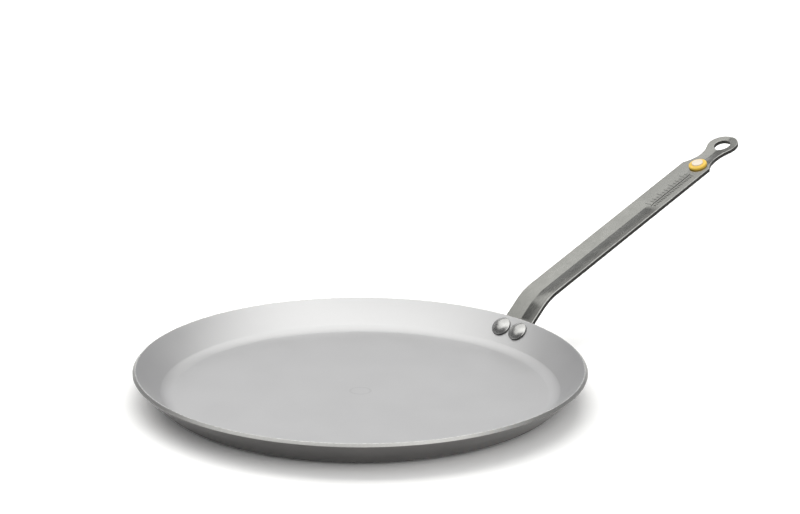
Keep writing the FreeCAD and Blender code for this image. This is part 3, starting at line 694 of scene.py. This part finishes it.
def steps_between(first, last, parts):
    """Places at even steps from first to last, both among them."""
    return [first + (last - first) * index / parts for index in range(parts + 1)]


def gutter_depth(place, stations):
    """Depth of the gutter at a place along the strip, eased between stations."""
    for (near, shallow), (far, deep) in zip(stations, stations[1:]):
        if place <= far:
            part = max(0.0, (place - near) / (far - near))
            return shallow + (deep - shallow) * part * part * (3.0 - 2.0 * part)
    return stations[-1][1]


class CREPEPAN_OT_form_handle(Operator):
    """Blank, press, stamp and bend the strip handle"""

    bl_idname = "crepe_pan.form_handle"
    bl_label = "Form the handle"

    # Where the blank is cut for its bends and its flanks, and which way an edge or a face lies
    bends = 14
    flank_cuts = (0.0006, 0.0030, 0.0060, 0.0090, 0.0115)
    tab_margin = 0.001
    square = math.radians(60.0)
    steep = 0.5
    level = 0.9

    # Short marks outside the rule and plain strokes inside it
    marks = 22
    mark_start = 0.0006
    mark_pitch = 0.0020
    mark_length = 0.0010
    mark_near = 0.0056
    mark_far = 0.0078
    strokes = 14
    stroke_start = 0.0010
    stroke_pitch = 0.0032
    stroke_width = 0.0005
    stroke_foot = 0.0027
    stroke_tops = (0.0026, 0.0004, 0.0014, 0.0002)

    # The gutter: where the tab lets it begin, the round of its flanks, and its depth as shares of full
    tab_end = -0.003
    gutter_start = 0.001
    flank_round = 1.42
    panel_share = 0.15
    neck_share = 1.15
    tip_share = 0.35

    def execute(self, context):
        settings = context.scene.crepe_pan
        pan, handle, finish = settings.pan, settings.handle, settings.finish
        strip = Strip(pan, handle)
        hollows = self.hollows(strip, handle)
        bm = bmesh.new()
        for side in (1.0, -1.0):
            blank_half(bm, strip, handle, side)
        bmesh.ops.remove_doubles(bm, verts=bm.verts[:], dist=MERGE)
        bend_step = (strip.bend_end - strip.bend_start) / self.bends
        hinges = [strip.bend_start + bend_step * (index + 0.5) for index in range(self.bends)]
        self.score_blank(bm, strip, handle, hinges, hollows)
        self.thicken(bm, handle)
        outer = [edge for edge in bm.edges if edge.calc_face_angle(0.0) > self.square]
        self.stamp_hollows(bm, hollows)
        self.press_gutter(bm, handle, strip)
        rounded = round_over(bm, outer, handle.arris, segments=3)
        bm.normal_update()
        # Steep faces take the sides' near-black tint, which is painted shade
        for face in bm.faces:
            if abs(face.normal.z) < self.steep:
                face.material_index = SHEARED_SHADE
        # Upper rounded arrises take a lighter tint, a painted highlight; lower ones take the sides'
        # painted shade
        for face in rounded:
            face.material_index = HIGHLIT_ARRIS if face.normal.z > 0.0 else SHEARED_SHADE
        self.bend(bm, strip, hinges)
        bmesh.ops.recalc_face_normals(bm, faces=bm.faces[:])
        place = Matrix.Translation(rim_edge(pan)) @ Matrix.Rotation(-pan.wall_angle, 4, "Y")
        materials = [
            rolled_handle_steel(finish), shaded_sheared_side(finish),
            painted_edge("highlit_arris", finish.burnished, finish.arris_gloss), shaded_stamped_hollow(finish),
        ]
        finish_piece(bm, "strip_handle", "handle", materials, place)
        return {"FINISHED"}

    def hollows(self, strip, handle):
        """The stamped rule, the marks outside it and the plain strokes inside it."""
        end = strip.button - handle.rule_gap
        start = end - handle.rule_length
        half = handle.rule_width / 2.0
        light = handle.rule_depth / 2.0
        low, high = -handle.rule_offset - half, -handle.rule_offset + half
        # The rule and the short marks take the dark tint, painted shade; the plain strokes keep the
        # rolled steel
        hollows = [Hollow(start, end, low, high, handle.rule_depth, STAMPED_SHADE)]
        for index in range(self.marks):
            near = start + self.mark_start + index * self.mark_pitch
            far = near + self.mark_length
            hollows.append(Hollow(near, far, -self.mark_far, -self.mark_near, light, STAMPED_SHADE))
        for index in range(self.strokes):
            near = start + self.stroke_start + index * self.stroke_pitch
            far = near + self.stroke_width
            top = self.stroke_tops[index % len(self.stroke_tops)]
            hollows.append(Hollow(near, far, -self.stroke_foot, top, light, ROLLED))
        return hollows

    def score_blank(self, bm, strip, handle, hinges, hollows):
        """Cuts the blank where it will bend, where the gutter changes and round the hollows."""
        lengthwise = steps_between(self.tab_margin - handle.tab, strip.bend_start, parts=20) + hinges
        lengthwise += steps_between(strip.bend_end, strip.gutter_end, parts=22)
        lengthwise += steps_between(strip.gutter_end, strip.panel, parts=8)[1:] + [strip.land]
        lengthwise += steps_between(strip.land, strip.neck, parts=6)[1:]
        lengthwise += steps_between(strip.neck, strip.tip, parts=10)[1:-1]
        slice_blank(bm, lengthwise, ALONG)
        slice_blank(bm, (0.0, *self.flank_cuts, *[-cut for cut in self.flank_cuts]), ACROSS)
        bmesh.ops.recalc_face_normals(bm, faces=bm.faces[:])
        ends = {place for hollow in hollows for place in (hollow.near, hollow.far)}
        sides = {place for hollow in hollows for place in (hollow.low, hollow.high)}
        slice_blank(bm, sorted(ends), ALONG)
        slice_blank(bm, sorted(sides), ACROSS)

    def thicken(self, bm, handle):
        """Gives the blank its thickness, below the level that it lies at."""
        top = bm.faces[:]
        if top[0].normal.z < 0.0:
            bmesh.ops.reverse_faces(bm, faces=top)
        bmesh.ops.solidify(bm, geom=top, thickness=handle.thickness)
        highest = max(vert.co.z for vert in bm.verts)
        bmesh.ops.translate(bm, vec=(0.0, 0.0, -highest), verts=bm.verts[:])

    def stamp_hollows(self, bm, hollows):
        """Sinks the stamped hollows into the top."""
        for hollow in hollows:
            sunk = []
            for face in bm.faces:
                middle = face.calc_center_median()
                inside = hollow.near < middle.x < hollow.far and hollow.low < middle.y < hollow.high
                if inside and face.normal.z > self.level:
                    sunk.append(face)
            pressed = bmesh.ops.extrude_face_region(bm, geom=sunk)
            verts = [item for item in pressed["geom"] if isinstance(item, bmesh.types.BMVert)]
            bmesh.ops.translate(bm, vec=(0.0, 0.0, -hollow.depth), verts=verts)
            for item in pressed["geom"]:
                if isinstance(item, bmesh.types.BMFace):
                    item.material_index = hollow.finish
            bmesh.ops.delete(bm, geom=[face for face in sunk if face.is_valid], context="FACES_ONLY")

    def press_gutter(self, bm, handle, strip):
        """Presses the gutter into the strip and hollows the tab to the round of the wall."""
        full = handle.gutter
        stations = (
            (self.tab_end, strip.seat), (self.gutter_start, full), (strip.gutter_end, full),
            (strip.panel, self.panel_share * full), (strip.land, self.panel_share * full),
            (strip.neck, self.neck_share * full), (strip.tip, self.tip_share * full),
        )
        for vert in bm.verts:
            place = vert.co.x
            off = min(1.0, abs(vert.co.y) / strip.half)
            pressed = strip.seat - gutter_depth(place, stations) * (1.0 - off) ** self.flank_round
            seated = off * off * strip.seat
            free = (place - self.tab_end) / (self.gutter_start - self.tab_end)
            vert.co.z += seated + (pressed - seated) * min(1.0, max(0.0, free))

    def bend(self, bm, strip, hinges):
        """Turns the strip down a little at each hinge, from the far one back."""
        brake = Matrix.Rotation(strip.turn / self.bends, 3, "Y")
        along = {vert: vert.co.x for vert in bm.verts}
        for hinge in reversed(hinges):
            beyond = [vert for vert, place in along.items() if place > hinge + TOUCH]
            bmesh.ops.rotate(bm, cent=(hinge, 0.0, 0.0), matrix=brake, verts=beyond)


# Rivets and button


class CREPEPAN_OT_set_rivets(Operator):
    """Set the two rivets through wall and tab"""

    bl_idname = "crepe_pan.set_rivets"
    bl_label = "Set the rivets"

    # Lift of the heads off a straight wall, for its round, then the gap, slant and roundings
    head_lift = 0.00016
    head_arris = 0.0003
    upset_gap = 0.00005
    upset_slant = 0.0014
    upset_flat = 0.0035
    upset_arris = 0.0004

    def execute(self, context):
        settings = context.scene.crepe_pan
        pan, rivet, finish = settings.pan, settings.fastener, settings.finish
        rise, run = math.sin(pan.wall_angle), math.cos(pan.wall_angle)
        out = pan.rim_radius - pan.sheet * rise - rivet.rivet_drop * run
        level = pan.height - rivet.rivet_drop * rise
        turn = math.asin(rivet.rivet_pitch / 2.0 / out)
        stand = Matrix.Translation((out, 0.0, level)) @ Matrix.Rotation(-pan.wall_angle, 4, "Y")
        # The heads' sides take a darker tint, painted shade
        steels = [
            set_rivet_steel(finish), painted_edge("shaded_rivet_side", finish.rivet_edge, finish.arris_gloss)
        ]
        for side, node in ((1.0, "rivet_left"), (-1.0, "rivet_right")):
            bm = self.rivet(pan, settings.handle, rivet)
            place = Matrix.Rotation(side * turn, 4, "Z") @ stand
            finish_piece(bm, node.replace("rivet", "set_rivet"), node, steels, place)
        return {"FINISHED"}

    def rivet(self, pan, handle, rivet):
        """One rivet, upright: domed head, shank and upset head, with the head's side in a darker tint
        that is painted shade.
        """
        # The head's steep sides take the darker tint, painted shade; the rest is rivet steel
        burnished, dull = range(2)
        steep = 0.5
        half, shank, bulge = rivet.head / 2.0, rivet.shank / 2.0, rivet.upset / 2.0
        edge = self.head_lift + rivet.head_edge
        seat = self.head_lift - pan.hollow
        back = -pan.sheet - handle.thickness - self.upset_gap
        foot = back - rivet.upset_height
        slant = foot + self.upset_slant
        bm = bmesh.new()
        vert = lay_dome(bm, half, edge, rivet.head_dome)
        lay_corners(bm, vert, (
            (half, seat), (shank, seat), (shank, back), (bulge, back), (bulge, slant),
            (self.upset_flat, foot), (0.0, foot),
        ))
        turn_section(bm, SMALL_FACETS)
        round_over(bm, ring(bm, half, edge), self.head_arris, segments=3)
        round_over(bm, ring(bm, bulge, slant), self.upset_arris, segments=3)
        bm.normal_update()
        for face in bm.faces:
            on_head = face.calc_center_median().z > -pan.sheet / 2.0
            face.material_index = dull if on_head and abs(face.normal.z) < steep else burnished
        return bm


def button_place(settings):
    """The button's place on the plate, upright square to it."""
    pan, handle = settings.pan, settings.handle
    strip = Strip(pan, handle)
    wall = Vector((math.cos(pan.wall_angle), 0.0, math.sin(pan.wall_angle)))
    run = Vector((math.cos(handle.slope), 0.0, math.sin(handle.slope)))
    lift = Vector((-math.sin(handle.slope), 0.0, math.cos(handle.slope)))
    spot = rim_edge(pan) + wall * handle.bend_corner + run * (strip.button - strip.corner)
    spot += lift * strip.seat - ACROSS * handle.button_offset
    return Matrix.Translation(spot) @ Matrix.Rotation(-handle.slope, 4, "Y")


class CREPEPAN_OT_fit_button(Operator):
    """Mould the button and its inlay and push them into the handle"""

    bl_idname = "crepe_pan.fit_button"
    bl_label = "Fit the button"

    # Roundings, the flange's slant and the gap round the inlay
    button_arris = 0.0004
    flange_slant = 0.001
    inlay_gap = 0.00005
    inlay_arris = 0.00012

    def execute(self, context):
        settings = context.scene.crepe_pan
        sizes, finish = settings.fastener, settings.finish
        place = button_place(settings)
        button = self.button(sizes, settings.handle)
        finish_piece(button, "button", "button_plug", [moulded_yellow(finish)], place)
        inlay = self.inlay(sizes)
        finish_piece(inlay, "inlay", "button_inlay", [satin_white(finish)], place)
        return {"FINISHED"}

    def button(self, sizes, handle):
        """The button, upright: dome with a seat for the inlay, stem and flange."""
        half, stem, flange = sizes.button / 2.0, sizes.stem / 2.0, sizes.flange / 2.0
        back = -handle.thickness
        foot = back - sizes.flange_height
        seat = sizes.inlay / 2.0 + self.inlay_gap
        seat_floor = sizes.button_edge + sizes.button_dome - sizes.inlay_depth
        bm = bmesh.new()
        vert = lay_dome(bm, half, sizes.button_edge, sizes.button_dome)
        lay_corners(bm, vert, (
            (half, 0.0), (stem, 0.0), (stem, back), (flange, back), (flange, foot + self.flange_slant),
            (stem, foot), (0.0, foot),
        ))
        turn_section(bm, SMALL_FACETS)
        round_over(bm, ring(bm, half, sizes.button_edge), self.button_arris, segments=4)
        crown = [vert for vert in bm.verts if vert.co.z > seat_floor and vert.co.xy.length < seat]
        for vert in crown:
            vert.co.z = seat_floor
        return bm

    def inlay(self, sizes):
        """The inlay, upright: a thin disc with a low crown."""
        half = sizes.inlay / 2.0
        top = sizes.button_edge + sizes.button_dome
        foot = top - sizes.inlay_depth
        bm = bmesh.new()
        vert = lay_dome(bm, half, top, sizes.inlay_crown)
        lay_corners(bm, vert, ((half, foot), (0.0, foot)))
        turn_section(bm, SMALL_FACETS)
        round_over(bm, ring(bm, half, top), self.inlay_arris, segments=2)
        return bm


# Stage

# A softbox: its size, its power and its place to the right of the pan, beyond it and above it
Softbox = namedtuple("Softbox", "name width depth power right away up")
LAMP_TINT = (1.0, 0.997, 0.970)
GLOSS_BOXES = (
    Softbox("softbox_above", width=3.75, depth=3.47, power=49.8, right=0.075, away=0.685, up=1.90),
    Softbox("softbox_near", width=2.00, depth=1.40, power=3.1, right=0.0, away=-0.35, up=1.96),
    Softbox("softbox_left", width=1.30, depth=2.10, power=8.2, right=-2.45, away=-0.15, up=1.90),
)
SHADOW_BOX = Softbox("softbox_back", width=3.30, depth=2.60, power=68.0, right=-0.70, away=1.60, up=1.93)
FRONT_BOX = Softbox("softbox_front", width=2.40, depth=1.80, power=20.0, right=1.02, away=-1.76, up=1.27)

# The pale sweep behind the pan, as gloss sees it: bearings in radians, to the right of straight behind,
# and levels as the sine of the height above the horizon
SWEEP_RIGHT = Fade(start=0.02, end=0.46, before=1.06, after=0.0)
SWEEP_LEFT = Fade(start=-0.66, end=-0.12, before=0.0, after=1.0)
SWEEP_SIDES = Fade(start=0.9, end=1.3, before=0.48, after=0.0)
SWEEP_TOP = Fade(start=0.36, end=0.58, before=1.0, after=0.0)
SWEEP_FOOT = Fade(start=0.02, end=0.30, before=0.70, after=1.0)
ROOM = Fade(start=-0.6, end=0.7, before=0.16, after=0.18)


def studio_axes(stage):
    """The studio's right, away and up, as the camera stands."""
    away = Vector((-math.cos(stage.azimuth), -math.sin(stage.azimuth), 0.0))
    return Matrix((away.cross(UP), away, UP)).transposed()


class CREPEPAN_OT_set_stage(Operator):
    """Place the camera, the pale floor and the soft studio light"""

    bl_idname = "crepe_pan.set_stage"
    bl_label = "Set the stage"

    # The camera's sensor in millimetres and its reach, then the floor's drop and its white as it is seen
    sensor = 36.0
    view_depth = 100.0
    floor_gap = 0.0002
    floor_white = 1.05

    def execute(self, context):
        stage = context.scene.crepe_pan.stage
        self.camera(context, stage)
        self.floor(context, stage)
        self.lamps(context, stage)
        self.world(context, stage)
        context.scene.view_settings.view_transform = "Standard"
        return {"FINISHED"}

    def camera(self, context, stage):
        data = bpy.data.cameras.new("camera")
        data.sensor_fit = "HORIZONTAL"
        data.sensor_width = self.sensor
        data.lens = stage.lens
        data.clip_end = self.view_depth
        camera = bpy.data.objects.new("camera", data)
        out = math.cos(stage.elevation)
        level = math.sin(stage.elevation)
        spot = Vector((out * math.cos(stage.azimuth), out * math.sin(stage.azimuth), level))
        aim = Matrix.Rotation(stage.heading, 4, "Z") @ Matrix.Rotation(QUARTER_TURN - stage.dip, 4, "X")
        aim = aim @ Matrix.Rotation(stage.roll, 4, "Z")
        camera.matrix_world = Matrix.Translation(spot * stage.distance) @ aim
        context.scene.collection.objects.link(camera)
        context.scene.camera = camera

    def floor(self, context, stage):
        """A pale floor that keeps its shadow, and is white to the camera and to gloss."""
        bm = bmesh.new()
        bmesh.ops.create_grid(bm, x_segments=2, y_segments=2, size=stage.floor_size / 2.0)
        bmesh.ops.translate(bm, vec=(0.0, 0.0, -self.floor_gap), verts=bm.verts[:])
        mesh = bpy.data.meshes.new("floor")
        bm.to_mesh(mesh)
        bm.free()
        floor = bpy.data.objects.new("floor", mesh)
        context.scene.collection.objects.link(floor)
        made = Recipe("pale_floor")
        rays = made.add("ShaderNodeLightPath").outputs
        seen = made.math("MAXIMUM", rays["Is Camera Ray"], rays["Is Glossy Ray"])
        seen = made.math("MAXIMUM", seen, rays["Is Transmission Ray"])
        matt = made.add("ShaderNodeBsdfDiffuse")
        pale, white = (stage.floor_pale,) * 3, (self.floor_white,) * 3
        made.join(made.blend(seen, pale, white), matt.inputs["Color"])
        made.join(matt.outputs["BSDF"], made.tree.nodes["Material Output"].inputs["Surface"])
        made.tree.nodes.remove(made.shader)
        mesh.materials.append(made.material)

    def lamps(self, context, stage):
        """Softboxes overhead for gloss alone, one behind for the floor's shadow, one in front."""
        axes = studio_axes(stage)
        downward = axes.to_quaternion()
        for box in GLOSS_BOXES:
            lamp = self.softbox(context, box, axes, downward)
            lamp.visible_diffuse = False
        lamp = self.softbox(context, SHADOW_BOX, axes, downward)
        lamp.visible_glossy = False
        front = axes @ Vector((FRONT_BOX.right, FRONT_BOX.away, FRONT_BOX.up))
        self.softbox(context, FRONT_BOX, axes, front.to_track_quat("Z", "Y"))

    def softbox(self, context, box, axes, turn):
        data = bpy.data.lights.new(box.name, "AREA")
        data.shape = "RECTANGLE"
        data.size = box.width
        data.size_y = box.depth
        data.energy = box.power
        data.color = LAMP_TINT
        lamp = bpy.data.objects.new(box.name, data)
        spot = axes @ Vector((box.right, box.away, box.up))
        lamp.matrix_world = Matrix.Translation(spot) @ turn.to_matrix().to_4x4()
        context.scene.collection.objects.link(lamp)
        return lamp

    def world(self, context, stage):
        """A pale sweep and a dim room for gloss, even light for matt surfaces, white for the camera."""
        world = bpy.data.worlds.new("studio")
        world.use_nodes = True
        context.scene.world = world
        made = Nodes(world.node_tree)
        toward = made.add("ShaderNodeTexCoord").outputs["Generated"]
        right, away, up = studio_axes(stage).transposed()
        side = made.along(toward, right)
        level = made.along(toward, up)
        bearing = made.math("ARCTAN2", side, made.along(toward, away))
        aside = made.math("ABSOLUTE", bearing)
        sweep = made.remap(bearing, *SWEEP_RIGHT)
        sweep = made.math("MULTIPLY", sweep, made.remap(bearing, *SWEEP_LEFT))
        sweep = made.math("MAXIMUM", sweep, made.remap(aside, *SWEEP_SIDES))
        sweep = made.math("MULTIPLY", sweep, made.remap(level, *SWEEP_TOP))
        sweep = made.math("MULTIPLY", sweep, made.remap(level, *SWEEP_FOOT))
        rays = made.add("ShaderNodeLightPath").outputs
        ambient = made.math("MULTIPLY", rays["Is Diffuse Ray"], stage.ambient)
        studio = made.math("MAXIMUM", made.math("MAXIMUM", sweep, made.remap(side, *ROOM)), ambient)
        white = made.math("MAXIMUM", rays["Is Camera Ray"], studio)
        made.join(white, world.node_tree.nodes["Background"].inputs["Color"])


class CREPEPAN_PT_sidebar(Panel):
    """Lists the crepe pan's steps and sizes"""

    bl_idname = "CREPEPAN_PT_sidebar"
    bl_label = "Crepe pan"
    bl_space_type = "VIEW_3D"
    bl_region_type = "UI"
    bl_category = "Crepe pan"

    def draw(self, context):
        settings = context.scene.crepe_pan
        for step in STEPS:
            self.layout.operator(step.bl_idname)
        for name in CrepePanSettings.__annotations__:
            group = getattr(settings, name)
            box = self.layout.box()
            for key in group.__annotations__:
                box.prop(group, key)


STEPS = (
    CREPEPAN_OT_set_stage,
    CREPEPAN_OT_press_pan,
    CREPEPAN_OT_form_handle,
    CREPEPAN_OT_set_rivets,
    CREPEPAN_OT_fit_button,
)
GROUPS = (PanSizes, HandleSizes, FastenerSizes, Finishes, StageSettings, CrepePanSettings)


def register():
    for kind in (*GROUPS, *STEPS, CREPEPAN_PT_sidebar):
        bpy.utils.register_class(kind)
    bpy.types.Scene.crepe_pan = PointerProperty(type=CrepePanSettings)


def unregister():
    del bpy.types.Scene.crepe_pan
    for kind in reversed((*GROUPS, *STEPS, CREPEPAN_PT_sidebar)):
        bpy.utils.unregister_class(kind)


def main():
    register()
    bpy.ops.crepe_pan.set_stage()
    bpy.ops.crepe_pan.press_pan()
    bpy.ops.crepe_pan.form_handle()
    bpy.ops.crepe_pan.set_rivets()
    bpy.ops.crepe_pan.fit_button()


if __name__ == "__main__":
    main()
